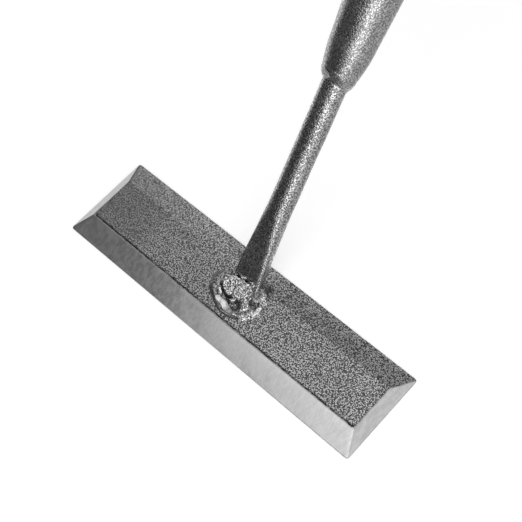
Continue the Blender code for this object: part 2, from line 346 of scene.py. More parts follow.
def plus(tree, first, *others):
    for other in others:
        first = calculate(tree, "ADD", first, other)
    return first


def minus(tree, first, second):
    return calculate(tree, "SUBTRACT", first, second)


def times(tree, first, *others):
    for other in others:
        first = calculate(tree, "MULTIPLY", first, other)
    return first


def vector_math(tree, operation, first, second=(0, 0, 0)):
    node = add_node(tree, "VectorMath", {0: first, 1: second}, operation=operation)
    return node.outputs["Value" if operation in ("DISTANCE", "LENGTH") else "Vector"]


def ramp(tree, value, low, high, bottom=0.0, top=1.0):
    """Runs smoothly from bottom to top while the value goes from low to high."""
    node = add_node(
        tree,
        "MapRange",
        {"Value": value, "From Min": low, "From Max": high, "To Min": bottom, "To Max": top},
        interpolation_type="SMOOTHSTEP",
    )
    return node.outputs["Result"]


def split(tree, vector):
    return add_node(tree, "SeparateXYZ", {"Vector": vector}).outputs


def stretch(tree, vector, scale):
    return add_node(tree, "Mapping", {"Vector": vector, "Scale": scale}).outputs[0]


def mottle(tree, vector, scale, detail):
    """Soft noise."""
    node = add_node(tree, "TexNoise", {"Vector": vector, "Scale": scale, "Detail": detail})
    return node.outputs["Fac"]


def spread(tree, soft, low, high):
    """Lays soft noise over a range."""
    return ramp(tree, soft, *SOFT_NOISE, low, high)


def painted_value(tree, name):
    """A value that the mesh carries at each of its points."""
    return add_node(tree, "Attribute", attribute_name=name).outputs["Fac"]


def mix_colours(tree, factor, first, second, blend_type="MIX"):
    colours = {0: factor, 6: first, 7: second}
    return add_node(tree, "Mix", colours, data_type="RGBA", blend_type=blend_type).outputs[2]


def toned(tree, base, tone):
    """A colour times a tone that changes over the surface."""
    return mix_colours(tree, 1.0, base, tone, "MULTIPLY")


def opaque(rgb):
    return (*rgb, 1.0)


def grey(value):
    return (value, value, value, 1.0)


def new_material(name):
    material = bpy.data.materials.new(name)
    material.use_nodes = True
    tree = material.node_tree
    return material, tree, tree.nodes["Principled BSDF"], add_node(tree, "TexCoord").outputs["Object"]


def surface(tree, shader, base, rough, height, depth, strength=1.0, metallic=1.0):
    """Gives a shader its colour, its roughness and its relief."""
    bump = add_node(tree, "Bump", {"Strength": strength, "Distance": depth, "Height": height})
    normal = bump.outputs["Normal"]
    feed(tree, shader, {"Base Color": base, "Roughness": rough, "Normal": normal, "Metallic": metallic})


def new_group(name, inputs, outputs):
    """An empty shader group with a vector and other named sockets, and its two ends."""
    tree = bpy.data.node_groups.new(name, "ShaderNodeTree")
    tree.interface.new_socket(name="Vector", in_out="INPUT", socket_type="NodeSocketVector")
    for direction, sockets in (("INPUT", inputs), ("OUTPUT", outputs)):
        for socket in sockets:
            tree.interface.new_socket(name=socket, in_out=direction, socket_type="NodeSocketFloat")
    return tree, tree.nodes.new("NodeGroupInput").outputs, tree.nodes.new("NodeGroupOutput")


def group_node(tree, name, build, inputs):
    """Places a shader group, which is built the first time. Returns its outputs."""
    node = tree.nodes.new("ShaderNodeGroup")
    node.node_tree = bpy.data.node_groups.get(name) or build(name)
    return feed(tree, node, inputs).outputs


# Finishes


def hammer_group(name):
    """Hammertone paint: worm-like silvery domes with dark seams, and a slow drift in tone."""
    tree, given, end = new_group(name, ("Cells",), ("Dome", "Drift"))
    vector, cells = given["Vector"], given["Cells"]
    curd = add_node(
        tree, "TexNoise", {"Vector": vector, "Scale": cells, "Detail": 1.0, "Distortion": 0.3}
    )
    spots = add_node(tree, "TexVoronoi", {"Vector": vector, "Scale": times(tree, cells, 0.9)})
    pits = ramp(tree, spots.outputs["Distance"], 0.25, 0.75, 0.09, -0.09)
    dome = ramp(tree, plus(tree, curd.outputs["Fac"], pits), 0.37, 0.69)
    feed(tree, end, {"Dome": dome, "Drift": mottle(tree, vector, 90.0, 2.0)})
    return tree


def grinding_group(name):
    """Fine scratches that run one way, with broader bands where the wheel bit harder."""
    tree, given, end = new_group(name, ("Turn",), ("Scratch", "Band"))
    turn = add_node(tree, "CombineXYZ", {"Z": given["Turn"]}).outputs[0]
    for mark, scale, detail in (("Scratch", (3200, 150, 900), 2.0), ("Band", (560, 380, 400), 4.0)):
        run = add_node(tree, "Mapping", {"Vector": given["Vector"], "Rotation": turn, "Scale": scale})
        feed(tree, end, {mark: mottle(tree, run.outputs[0], 1.0, detail)})
    return tree


def paint_inset(tree, place):
    """How far a point lies inside the line where the grinding took the paint off the blade.

    The second value tells the ends, 1, from the front, 0.
    """
    blade = settings().blade
    front_y = BLADE_LOW[1] + blade.front_bevel
    back_y = BLADE_HIGH[1] - blade.back_bevel
    end_x = BLADE_HIGH[0] - blade.end_bevel
    x, y, z = split(tree, place)
    from_front = minus(tree, y, front_y)
    behind = calculate(tree, "MAXIMUM", minus(tree, y, back_y), 0.0)
    hip = times(tree, behind, blade.end_bevel / blade.back_bevel)
    from_end = minus(tree, hip, minus(tree, calculate(tree, "ABSOLUTE", x), end_x))
    nearest = calculate(tree, "SMOOTH_MIN", from_front, from_end, 2.5 * MM)
    ragged = spread(tree, mottle(tree, place, 600.0, 3.0), -0.12 * MM, 0.12 * MM)
    under = ramp(tree, z, BLADE_LOW[2] + 0.3 * MM, BLADE_LOW[2], 0.0, 10 * MM)
    at_end = ramp(tree, minus(tree, from_front, from_end), 0.0, 2 * MM)
    return plus(tree, nearest, ragged, under), at_end


def fading(tree, place):
    """How strongly the cells stand out: the paint lies thinner towards the blade's left end."""
    return ramp(tree, split(tree, place)["X"], BLADE_LOW[0], BLADE_HIGH[0] * 0.5, 0.75, 1.6)


def painted_blade_shade(tree, place):
    """Painted shade on the blade's paint: darker behind the ridge on the right, and at the left of the
    face.
    """
    x, y, _ = split(tree, place)
    ridge_y = BLADE_HIGH[1] - settings().blade.back_bevel
    behind = ramp(tree, y, ridge_y - 0.6 * MM, ridge_y + 0.4 * MM)
    fades = ramp(tree, y, ridge_y + 2 * MM, ridge_y + 8 * MM, 0.21, 0.11)
    right = ramp(tree, x, 4 * MM, 16 * MM)
    past = ramp(tree, x, 30 * MM, 55 * MM, 1.0, 0.5)
    left = ramp(tree, x, -38 * MM, -56 * MM, 0.0, 0.19)
    on_face = ramp(tree, behind, 0.0, 1.0, 1.0, 0.4)
    darker = plus(tree, times(tree, right, past, behind, fades), times(tree, left, on_face))
    return minus(tree, 1.0, darker)


def blade_edges(tree, place, base):
    """Adds the paint's dark ragged rim, painted shade in the corner between the foot and the blade, and the
    bare steel.
    """
    inset, at_end = paint_inset(tree, place)
    patches = ramp(tree, mottle(tree, place, 260.0, 2.0), 0.35, 0.6, 0.6, 0.96)
    worn_end = ramp(tree, split(tree, place)["X"], -40 * MM, 40 * MM, 0.75, 0.4)
    kept = minus(tree, 1.0, times(tree, at_end, worn_end))
    narrowed = plus(tree, inset, times(tree, at_end, 0.4 * MM))
    rim = times(tree, patches, kept, ramp(tree, narrowed, 1.5 * MM, 0.6 * MM))
    # Painted shade in the corner between the foot and the blade
    from_corner = vector_math(tree, "DISTANCE", place, SHADED_CORNER)
    corner_shade = ramp(tree, from_corner, 5.5 * MM, 1.5 * MM, 0.0, 0.75)
    dark = calculate(tree, "MAXIMUM", rim, times(tree, corner_shade, patches))
    base = mix_colours(tree, dark, base, grey(0.02))
    bare = ramp(tree, inset, 0.35 * MM, 0.15 * MM)
    return mix_colours(tree, bare, base, opaque(settings().finishes.steel))


def hammertone(name, on_blade=False, on_weld=False, relief=1.0, contrast=1.0):
    """Hammertone paint. Relief tells how thick it lies, and contrast how far its cells stand out."""
    looks = settings().finishes
    material, tree, shader, place = new_material(name)
    pattern = {"Vector": place, "Cells": 1 / looks.cell}
    cells = group_node(tree, "hammertone_cells", hammer_group, pattern)
    if on_blade:
        contrast = fading(tree, place)
    dome = calculate(tree, "MULTIPLY_ADD", minus(tree, cells["Dome"], 0.5), contrast, 0.5)
    if on_weld:
        smooth = painted_value(tree, "pooled_paint")
        dome = plus(tree, times(tree, dome, minus(tree, 1.0, smooth)), times(tree, smooth, 0.75))
    base = mix_colours(tree, dome, opaque(looks.paint_dark), opaque(looks.paint_light))
    tone = spread(tree, cells["Drift"], 0.94, 1.05)
    if on_blade:
        # Painted shade behind the ridge on the right and at the left of the face
        tone = times(tree, tone, painted_blade_shade(tree, place))
    base = toned(tree, base, tone)
    if on_weld:
        # Painted shade in the weld's dips and along the foot of the mound
        base = mix_colours(tree, times(tree, painted_value(tree, "slag"), 0.85), base, grey(0.03))
    if on_blade:
        base = blade_edges(tree, place, base)
    rough = ramp(tree, dome, 0.0, 1.0, 0.34, 0.22)
    surface(tree, shader, base, rough, dome, looks.cell_depth * relief)
    return material


def ground_steel(turn):
    """Bare steel, its grinding marks turned this far from straight across the blade."""
    material, tree, shader, place = new_material("ground_steel")
    marks = group_node(tree, "grinding_marks", grinding_group, {"Vector": place, "Turn": turn})
    scratch, band = marks["Scratch"], marks["Band"]
    fine = spread(tree, scratch, 0.92, 1.04)
    broad = ramp(tree, band, 0.32, 0.68, 0.88, 1.05)
    base = toned(tree, opaque(settings().finishes.steel), times(tree, fine, broad))
    rough = spread(tree, band, 0.17, 0.22)
    surface(tree, shader, base, rough, scratch, 0.01 * MM, strength=0.12)
    return material


def ash_wood():
    """Straight-grained ash: growth rings cut lengthwise, pores and a rubbed oil finish."""
    looks = settings().finishes
    material, tree, shader, place = new_material("oiled_ash")
    upright = add_node(
        tree,
        "Mapping",
        {"Vector": place, "Location": SHAFT_FOOT, "Rotation": SHAFT_TURN},
        vector_type="TEXTURE",
    ).outputs[0]
    squeezed = stretch(tree, upright, (1, 1, 0.03))
    sway = add_node(tree, "TexNoise", {"Vector": squeezed, "Scale": 55.0, "Detail": 2.0})
    swayed = vector_math(tree, "MULTIPLY", sway.outputs["Color"], (7 * MM, 7 * MM, 7 * MM))
    bent = vector_math(tree, "ADD", squeezed, swayed)
    from_pith = vector_math(tree, "ADD", bent, (46 * MM, 23 * MM, 0))
    outwards = vector_math(tree, "MULTIPLY", from_pith, (1, 1, 0))
    away = vector_math(tree, "LENGTH", outwards)
    phase = calculate(tree, "FRACT", calculate(tree, "DIVIDE", away, settings().handle.growth_ring))
    ring = ramp(tree, phase, 0.15, 0.95)
    pores = mottle(tree, stretch(tree, upright, (2600, 2600, 75)), 1.0, 2.0)
    early = ramp(tree, phase, 0.35, 0.0)
    dark_pores = times(tree, ramp(tree, pores, 0.56, 0.66), early)
    fibres = mottle(tree, stretch(tree, upright, (900, 900, 12)), 1.0, 3.0)
    wood = mix_colours(tree, ring, opaque(looks.ash_light), opaque(looks.ash))
    streaked = toned(tree, wood, spread(tree, fibres, 0.86, 1.08))
    base = mix_colours(tree, dark_pores, streaked, (0.20, 0.11, 0.05, 1.0))
    rough = ramp(tree, dark_pores, 0.0, 1.0, 0.42, 0.7)
    dents = minus(tree, fibres, dark_pores)
    surface(tree, shader, base, rough, dents, 0.06 * MM, strength=0.4, metallic=0.0)
    feed(tree, shader, {"Coat Weight": 0.08, "Coat Roughness": 0.3})
    return material


def zinc_plate():
    """Zinc with the faint spangle and haze of plating."""
    material, tree, shader, place = new_material("zinc_plate")
    spangle = add_node(tree, "TexVoronoi", {"Vector": place, "Scale": 1400.0})
    patch = add_node(tree, "SeparateColor", {"Color": spangle.outputs["Color"]}).outputs[0]
    tone = ramp(tree, patch, 0.0, 1.0, 0.86, 1.06)
    base = toned(tree, opaque(settings().finishes.zinc), tone)
    haze = mottle(tree, place, 700.0, 3.0)
    rough = spread(tree, haze, 0.24, 0.42)
    surface(tree, shader, base, rough, haze, 0.02 * MM, strength=0.2)
    return material


# Blade


class HOE_OT_blade(Operator):
    """Models the ground and painted blade"""

    bl_idname = "hoe.blade"
    bl_label = "Blade"

    def execute(self, context):
        size = settings().blade
        low, high = Vector(BLADE_LOW), Vector(BLADE_HIGH)
        whole = high - low
        face_length = whole.x - 2 * size.end_bevel
        face_width = whole.y - size.front_bevel - size.back_bevel
        deselect()
        bpy.ops.mesh.primitive_plane_add(size=1, location=(0, 0, low.z))
        blade = name_new("bevelled_blade")
        bpy.ops.object.mode_set(mode="EDIT")
        bpy.ops.transform.resize(value=(whole.x, whole.y, 1), center_override=(0, 0, 0))
        bpy.ops.mesh.select_mode(type="VERT")
        bpy.ops.mesh.bevel(offset=size.corner_radius, segments=6, affect="VERTICES")
        bpy.ops.mesh.select_mode(type="FACE")
        bpy.ops.mesh.select_all(action="SELECT")
        extrude(size.edge_land)
        extrude(whole.z - size.edge_land, (face_length / whole.x, face_width / whole.y, 1))
        bpy.ops.transform.translate(value=(0, (size.front_bevel - size.back_bevel) / 2, 0))
        self.ease_ridges(size)
        self.cut_grid(size, low, high)
        bpy.ops.mesh.select_all(action="SELECT")
        bpy.ops.mesh.normals_make_consistent(inside=False)
        self.assign_steel(size)
        bpy.ops.object.mode_set(mode="OBJECT")
        bpy.ops.object.transform_apply()
        self.grind_by_hand(blade, size)
        shade(blade, 40)
        apply_modifier(blade, "WEIGHTED_NORMAL", keep_sharp=True, weight=80)
        paint = hammertone("blade_hammertone", on_blade=True)
        steel = ground_steel(math.radians(32))
        hand_over(blade, "blade", "blade", paint, steel)
        return {"FINISHED"}

    def ease_ridges(self, size):
        """Takes the sharpness off the ridge round the face."""
        top = BLADE_HIGH[2] - size.edge_land / 2
        pick("edges", lambda edge: min(v.co.z for v in edge.verts) > top)
        bpy.ops.mesh.bevel(offset=size.ridge, segments=3, affect="EDGES", clamp_overlap=True)

    def cut_grid(self, size, low, high):
        """Cuts the blade both ways, so that its faces can run a little uneven."""
        for axis in (0, 1):
            normal = Vector((0, 0, 0))
            normal[axis] = 1
            cuts = round((high[axis] - low[axis]) / size.grid)
            for step in range(1, cuts):
                place = normal * blend(low[axis], high[axis], step / cuts)
                bpy.ops.mesh.select_all(action="SELECT")
                bpy.ops.mesh.bisect(plane_co=place, plane_no=normal)

    def assign_steel(self, size):
        """The cutting bevel and both ends are ground bare after the paint."""
        blade = bpy.context.edit_object
        ridge_y = BLADE_LOW[1] + size.front_bevel
        end_x = BLADE_HIGH[0] - size.end_bevel

        def bare(face):
            centre = face.calc_center_median()
            if face.normal.z < -0.5:
                return False
            at_end = abs(centre.x) > end_x - size.ridge and abs(face.normal.x) > 0.2
            in_front = centre.y < ridge_y + size.ridge and face.normal.y < -0.1
            return at_end or in_front

        blade.data.materials.clear()
        pick("faces", bare)
        mesh = blade.data
        bm = bmesh.from_edit_mesh(mesh)
        for face in bm.faces:
            face.material_index = 1 if face.select else 0
        bmesh.update_edit_mesh(mesh)

    def grind_by_hand(self, blade, size):
        group = blade.vertex_groups.new(name="ridges")
        above = [v.index for v in blade.data.vertices if v.co.z > BLADE_LOW[2] + 2 * size.edge_land]
        group.add(above, 1.0, "REPLACE")
        roughen(blade, 9 * MM, 2, size.waviness, "ridges")
        blade.vertex_groups.clear()


# Neck


def neck_radius(height):
    neck = settings().neck
    top = settings().socket.nose_height
    part = limit((height - neck.foot_length) / (top - neck.foot_length))
    return blend(neck.radius, neck.top_radius, part)


def forged_section(angle, height):
    """The neck's section: a flat front with square sides at the foot, round above it."""
    neck = settings().neck
    up = limit(height / neck.foot_length)
    radius = neck_radius(height)
    half_width = radius + (neck.foot_width / 2 - radius) * (1 - up) ** 1.3
    across, through = math.cos(angle), math.sin(angle)
    square = 2 / blend(4.8, 2.0, up) if through < 0 else 1.0
    depth = blend(neck.foot_front, radius, up) if through < 0 else radius
    x = half_width * math.copysign(abs(across) ** square, across)
    y = depth * math.copysign(abs(through) ** square, through)
    return x, y


def root_height(angle):
    """Height up the shaft at which the foot's skin reaches the level of its root."""
    below_face = settings().neck.root_cover - BLADE_HIGH[2]
    leaning = forged_section(angle, 0)[1] * math.cos(SHAFT_ANGLE)
    return (below_face + leaning) / math.sin(SHAFT_ANGLE)


class HOE_OT_neck(Operator):
    """Models the round neck and its forged chisel foot"""

    bl_idname = "hoe.neck"
    bl_label = "Neck"

    def execute(self, context):
        neck = settings().neck
        foot_rings, stem_rings = 34, 44
        top = settings().socket.nose_height + 10 * MM

        def place(ring, angle):
            if ring <= foot_rings:
                height = blend(root_height(angle), neck.foot_length, ring / foot_rings)
            else:
                height = blend(neck.foot_length, top, (ring - foot_rings) / stem_rings)
            x, y = forged_section(angle, height)
            spot = Vector((x, y, height * 0.6)) / (9 * MM)
            swell = 1 + neck.unevenness / neck.radius * noise.noise(spot)
            return Vector((x * swell, y * swell, height))

        stem = shaped_tube("forged_neck", 88, foot_rings + stem_rings + 1, place)
        roughen(stem, 3.5 * MM, 1, neck.unevenness * 0.45)
        lay_on_shaft(stem)
        shade(stem, 45)
        hand_over(stem, "neck", "hammertone", hammertone("neck_hammertone", **NECK_PAINT))
        return {"FINISHED"}


# Weld on the blade

# Waves of the puddle's rim: how many go round it, where they start and how far they reach
RIM_WAVES = ((1, 0.3, 0.045), (2, 1.6, 0.02), (3, -0.8, 0.05), (7, 0.6, 0.012))

# A drop of weld metal, in millimetres from the middle of the blade: its middle, half length and half
# width, its turn in degrees, its height in the middle, how much its top rises to the right and to the
# back, and the width of its edge
Drop = namedtuple("Drop", "x y half_length half_width turn height to_right to_back edge")

# A dip in the weld, given in the same way, with its depth
Dip = namedtuple("Dip", "x y half_length half_width turn depth")

# The ripple in front, the mound at the neck's foot and the tooth in the crater
RIPPLE = Drop(-0.1, -5.7, 5.3, 1.9, -6, 2.6, -0.16, 0.38, 0.8)
MOUND = Drop(0.3, 2.1, 8.2, 4.9, 4, 4.2, -0.12, 0.35, 1.2)
TOOTH = Drop(1.8, -2.6, 1.6, 1.1, 43, 2.8, -0.24, 0.36, 0.5)

WELD_DROPS = (
    RIPPLE,
    # The ripple's thin end on the left
    Drop(-4.6, -3.0, 2.2, 1.3, -28, 2.5, -0.28, 0.36, 0.6),
    # The mound and its tail
    MOUND,
    Drop(6.2, -0.9, 2.9, 3.3, 20, 3.1, -0.14, 0.38, 1.0),
    # Lumps where the mound climbs the foot
    Drop(-4.9, 5.9, 2.2, 1.7, 10, 4.2, 0.0, 0.36, 0.9),
    Drop(-1.0, 6.7, 2.7, 1.7, 15, 4.7, 0.0, 0.36, 1.0),
    Drop(3.2, 6.3, 2.5, 1.7, 10, 4.5, -0.1, 0.36, 1.0),
)

# Lobes where the metal ran out to the right
WELD_LOBES = (
    Drop(10.9, 6.2, 2.9, 1.8, 23, 2.0, -0.24, 0.34, 1.1),
    Drop(11.9, 0.1, 3.3, 1.7, 76, 1.9, -0.22, 0.34, 1.0),
)

WELD_DIPS = (
    # The crater and its pit
    Dip(0.9, -3.2, 3.2, 1.1, 12, 1.1),
    Dip(3.5, -4.1, 2.0, 1.3, 30, 2.0),
    # The groove on the right
    Dip(8.6, 1.6, 2.4, 0.8, 25, 1.0),
    Dip(10.4, 1.6, 1.8, 0.7, -60, 0.8),
)


def oval_share(x, y, oval):
    """How far out a place lies in a turned oval, from 0 in its middle to 1 on its outline."""
    turn = math.radians(oval.turn)
    right, back = x - oval.x, y - oval.y
    along = (right * math.cos(turn) + back * math.sin(turn)) / oval.half_length
    aside = (back * math.cos(turn) - right * math.sin(turn)) / oval.half_width
    return math.hypot(along, aside)


def drop_cover(x, y, drop):
    """From 0 outside a drop of weld metal to 1 inside its rounded edge."""
    share = oval_share(x, y, drop)
    reach = math.hypot(x - drop.x, y - drop.y) / max(share, 0.05)
    return smooth_step((1 - share) * reach / drop.edge)


def drop_top(x, y, drop):
    """Height of a drop's top above the blade's face."""
    return drop.height + drop.to_right * (x - drop.x) + drop.to_back * (y - drop.y)


def dip_cover(x, y, dip):
    """From 0 far from a dip to 1 in its middle."""
    return math.exp(-(oval_share(x, y, dip) ** 2))


# Where in the noise the weld's outlines take the unevenness of their two directions
STRAY_ACROSS = Vector((0, 0, 122.2))
STRAY_BACK = Vector((0, 0, 206.6))


def strayed(x, y, layer=0, reach=0.7):
    """A place moved a little, so that the outlines of the metal run unevenly."""
    spot = Vector((x, y, layer)) / 2.2
    across = x + noise.noise(spot + STRAY_ACROSS) * reach
    return across, y + noise.noise(spot + STRAY_BACK) * reach


def weld_metal(x, y):
    """Height of the weld above the blade's face, away from its rim. All in millimetres."""
    near = strayed(x, y)
    height = settings().weld.height / MM + 0.5 * smooth_step((x + 1) / 4)
    for drop in WELD_DROPS:
        height = max(height, drop_top(x, y, drop) * drop_cover(*near, drop))
    for dip in WELD_DIPS:
        height -= dip.depth * dip_cover(*near, dip)
    height = max(height, drop_top(x, y, TOOTH) * drop_cover(*near, TOOTH))
    return max(height + 0.2 * noise.noise(Vector((x, y, 5)) / 1.6), 0.25)


def lobe_metal(x, y):
    """Height of the lobes on the right, above the face, in millimetres."""
    near = strayed(x, y, 3, 0.6)
    return max(0.0, *(drop_top(x, y, lobe) * drop_cover(*near, lobe) for lobe in WELD_LOBES))


def flank_share(x):
    """Share of the puddle's reach that its flank takes up: steep on the left, gentle on the right."""
    return blend(0.16, 0.34, smooth_step((x - 9) / 4)) + 0.05 * smooth_step((-4 - x) / 4)


def pooled_paint(x, y, reach):
    """Where the paint ran together and dried smooth: on the ripple, the lobes and the steep flank."""
    flank = smooth_step((reach - 0.82) / 0.05) * smooth_step((8 - x) / 6)
    lobes = max(drop_cover(x, y, lobe) for lobe in WELD_LOBES)
    return max(0.75 * flank, 0.85 * drop_cover(x, y, RIPPLE), 0.35 * lobes)


def slag(x, y):
    """Painted shade: where the weld is darkened in the dips and along the foot of the mound."""
    near = strayed(x, y)
    in_dips = max(dip_cover(*near, dip) for dip in WELD_DIPS)
    cover = drop_cover(*near, MOUND)
    foot = smooth_step(cover / 0.15) * (1 - smooth_step((cover - 0.6) / 0.38))
    dark = max(0.8 * in_dips, foot * (1 - 0.7 * smooth_step((x - 3) / 3)))
    return dark * (1 - 0.9 * drop_cover(*near, TOOTH))


class HOE_OT_blade_weld(Operator):
    """Models the puddled weld between the neck and the blade"""

    bl_idname = "hoe.blade_weld"
    bl_label = "Blade weld"

    def execute(self, context):
        weld = settings().weld
        face = BLADE_HIGH[2]
        rings = 64
        # How deep its rim reaches into the blade, how low it lies and how small its last ring is
        skirt, sunk, last_ring = 1.5 * MM, 0.12 * MM, 0.015
        smooth, dark = [], []

        def place(ring, angle):
            wave = 1 + sum(size * math.sin(waves * angle + start) for waves, start, size in RIM_WAVES)
            reach = 1.0 if ring == 0 else blend(1.0, last_ring, (ring - 1) / (rings - 1))
            x = weld.centre + weld.half_length * wave * reach * math.cos(angle)
            y = weld.centre + weld.half_width * wave * reach * math.sin(angle)
            across, back = x / MM, y / MM
            smooth.append(pooled_paint(across, back, reach))
            dark.append(slag(across, back))
            if ring == 0:
                return Vector((x, y, face - skirt))
            flank = smooth_step((1 - reach) / flank_share(across)) ** 1.3
            lobes = smooth_step((1 - reach) / 0.08) * lobe_metal(across, back)
            height = max(flank * weld_metal(across, back), lobes) * MM
            return Vector((x, y, face + height - sunk))

        puddle = shaped_tube("weld_puddle", 240, rings + 1, place)
        # Each point carries where the paint pooled smooth and the painted shade of the dips
        for name, values in (("pooled_paint", smooth), ("slag", dark)):
            attribute = puddle.data.attributes.new(name, "FLOAT", "POINT")
            attribute.data.foreach_set("value", values)
        shade(puddle, 60)
        hand_over(puddle, "blade_weld", "hammertone", hammertone("weld_hammertone", on_weld=True))
        return {"FINISHED"}


# Socket and the bead under its nose


def nose_end(angle):
    socket = settings().socket
    return socket.nose_height + socket.nose_skew * math.cos(angle)


def socket_places():
    """Where the socket's nose, its shoulder and its mouth lie along the shaft."""
    socket = settings().socket
    tip = socket.nose_height - socket.nose_skew
    return tip, tip + socket.shoulder_rise, socket.nose_height + socket.total


def socket_radius(height):
    socket = settings().socket
    tip, shoulder, mouth = socket_places()
    if height >= shoulder:
        mouth_radius = settings().handle.radius + PLAY + socket.wall
        return blend(socket.shoulder_radius, mouth_radius, (height - shoulder) / (mouth - shoulder))
    up = limit((height - tip) / socket.shoulder_rise)
    nose_radius = neck_radius(tip) + PLAY + socket.nose_wall
    return blend(nose_radius, socket.shoulder_radius, 1 - (1 - up) ** 1.5)


def shaft_point(radius, angle, height):
    return Vector((radius * math.sin(angle), -radius * math.cos(angle), height))


class HOE_OT_socket(Operator):
    """Models the tapered socket with its swaged nose"""

    bl_idname = "hoe.socket"
    bl_label = "Socket"

    def execute(self, context):
        socket = settings().socket
        _, shoulder, mouth = socket_places()
        nose_rings, cone_rings, lip_rings = 20, 44, 6
        # Gap between the nose and the neck, and depth of the dents that swaging leaves
        gap, dents = 0.05 * MM, 0.12 * MM

        def place(ring, angle):
            if ring <= nose_rings:
                height = blend(nose_end(angle), shoulder, ring / nose_rings)
            else:
                part = limit((ring - nose_rings) / cone_rings)
                height = blend(shoulder, mouth - socket.lip, part)
            radius = socket_radius(height)
            past = ring - nose_rings - cone_rings
            if 0 < past <= lip_rings:
                turn = math.pi / 2 * past / lip_rings
                height = mouth - socket.lip * (1 - math.sin(turn))
                radius = socket_radius(mouth) - socket.lip * (1 - math.cos(turn))
            elif past == lip_rings + 1:
                height = mouth
                radius = socket_radius(mouth) - socket.wall
            elif past == lip_rings + 2:
                height = shoulder
                radius = socket_radius(shoulder) - socket.wall
            elif past == lip_rings + 3:
                height = nose_end(angle)
                radius = neck_radius(height) + gap
            else:
                radius += dents * noise.noise(shaft_point(radius, angle, height) / (8 * MM))
            return shaft_point(radius, angle, height)

        rings = nose_rings + cone_rings + lip_rings + 4
        tube = shaped_tube("swaged_socket", 96, rings, place, joined=True)
        lay_on_shaft(tube)
        shade(tube, 40)
        hand_over(tube, "socket", "hammertone", hammertone("socket_hammertone", **SOCKET_PAINT))
        return {"FINISHED"}


class HOE_OT_socket_weld(Operator):
    """Models the bead that closes the socket's nose on the neck"""

    bl_idname = "hoe.socket_weld"
    bl_label = "Socket weld"

    def execute(self, context):
        weld = settings().weld
        rings = 26
        # How far the bead runs up the nose, and how deep its inner side lies in the neck
        cover, bite = 1.2 * MM, 0.4 * MM

        def place(ring, angle):
            top = nose_end(angle) + cover
            toe = nose_end(angle) - weld.bead_length
            if ring == rings:
                return shaft_point(neck_radius(top) - bite, angle, top)
            if ring == rings + 1:
                return shaft_point(neck_radius(toe) - bite, angle, toe)
            part = ring / (rings - 1)
            height = blend(toe, top, part)
            skin = socket_radius(top) - 0.05 * MM
            radius = blend(neck_radius(toe) - 0.1 * MM, skin, smooth_step(part))
            on_left = max(0.0, math.cos(angle + math.radians(55))) ** 2
            spot = shaft_point(radius, angle, height)
            lumps = 0.3 * noise.noise(spot / (2.4 * MM)) + 0.22 * noise.noise(spot / (1.1 * MM))
            swell = weld.bead_bulge * (0.5 + 1.6 * on_left) + lumps * MM
            radius += math.sin(math.pi * part) * swell
            return shaft_point(radius, angle, height)

        bead = shaped_tube("nose_bead", 150, rings + 2, place, joined=True)
        lay_on_shaft(bead)
        shade(bead, 60)
        hand_over(bead, "socket_weld", "hammertone", hammertone("bead_hammertone", **SOCKET_PAINT))
        return {"FINISHED"}


# Handle and its screw


class HOE_OT_handle(Operator):
    """Models the ash handle"""

    bl_idname = "hoe.handle"
    bl_label = "Handle"

    def execute(self, context):
        handle = settings().handle
        mouth = socket_places()[2]
        top = handle.start + handle.total
        tenon_rings, shaft_rings, dome_rings = 10, 120, 14
        # Depth and length of the hollows that turning leaves
        hollow, hollow_length = 0.12 * MM, 90 * MM
        tip_radius = socket_radius(handle.start) - settings().socket.wall - PLAY

        def place(ring, angle):
            if ring <= tenon_rings:
                part = ring / tenon_rings
                radius = blend(tip_radius, handle.radius, part)
                return shaft_point(radius, angle, blend(handle.start, mouth, part))
            past = ring - tenon_rings
            if past <= shaft_rings:
                height = blend(mouth, top - handle.dome, past / shaft_rings)
                spot = Vector((math.cos(angle), math.sin(angle), height / hollow_length))
                return shaft_point(handle.radius - hollow * abs(noise.noise(spot)), angle, height)
            turn = math.pi / 2 * (past - shaft_rings) / dome_rings
            radius = blend(handle.butt_flat, handle.radius, math.cos(turn))
            return shaft_point(radius, angle, top - handle.dome * (1 - math.sin(turn)))

        pole = shaped_tube("ash_handle", 64, tenon_rings + shaft_rings + dome_rings + 1, place)
        lay_on_shaft(pole)
        shade(pole, 35)
        hand_over(pole, "handle", "ash", ash_wood())
        return {"FINISHED"}


class HOE_OT_screw(Operator):
    """Models the round-head screw through the socket"""

    bl_idname = "hoe.screw"
    bl_label = "Handle screw"

    def execute(self, context):
        size = settings().screw
        height = socket_places()[2] - size.from_mouth
        seat = socket_radius(height + size.head_radius)
        rings, shank_depth = 12, 4 * MM

        def place(ring, angle):
            if ring == 0:
                radius, rise = size.shank, -shank_depth
            elif ring == 1:
                radius, rise = size.shank, 0.0
            elif ring == 2:
                radius, rise = size.head_radius, 0.0
            else:
                turn = math.pi / 2 * (ring - 3) / (rings - 3) * 0.97
                radius = size.head_radius * math.cos(turn)
                rise = size.head_rim + (size.head_height - size.head_rim) * math.sin(turn)
            return Vector((radius * math.cos(angle), radius * math.sin(angle), rise))

        screw = shaped_tube("slotted_screw", 48, rings + 1, place)
        self.cut_slot(screw, size)
        apply_modifier(screw, "BEVEL", width=0.12 * MM, segments=2, limit_method="ANGLE")
        select(screw)
        screw.location = (0, -seat, height)
        screw.rotation_euler = (math.pi / 2, 0, 0)
        bpy.ops.object.transform_apply()
        lay_on_shaft(screw)
        shade(screw, 35)
        hand_over(screw, "handle_screw", "zinc", zinc_plate())
        return {"FINISHED"}

    def cut_slot(self, screw, size):
        deselect()
        bpy.ops.mesh.primitive_cube_add(size=1, location=(0, 0, size.head_height))
        cutter = name_new("slot_cutter")
        cutter.scale = (3 * size.head_radius, size.slot_width, 2 * size.slot_depth)
        bpy.ops.object.transform_apply()
        apply_modifier(screw, "BOOLEAN", operation="DIFFERENCE", object=cutter)
        bpy.data.objects.remove(cutter)


# Studio

# Heights over the floor of the cards that lie flat
LOW = 0.5 * MM
LOWEST = 0.3 * MM

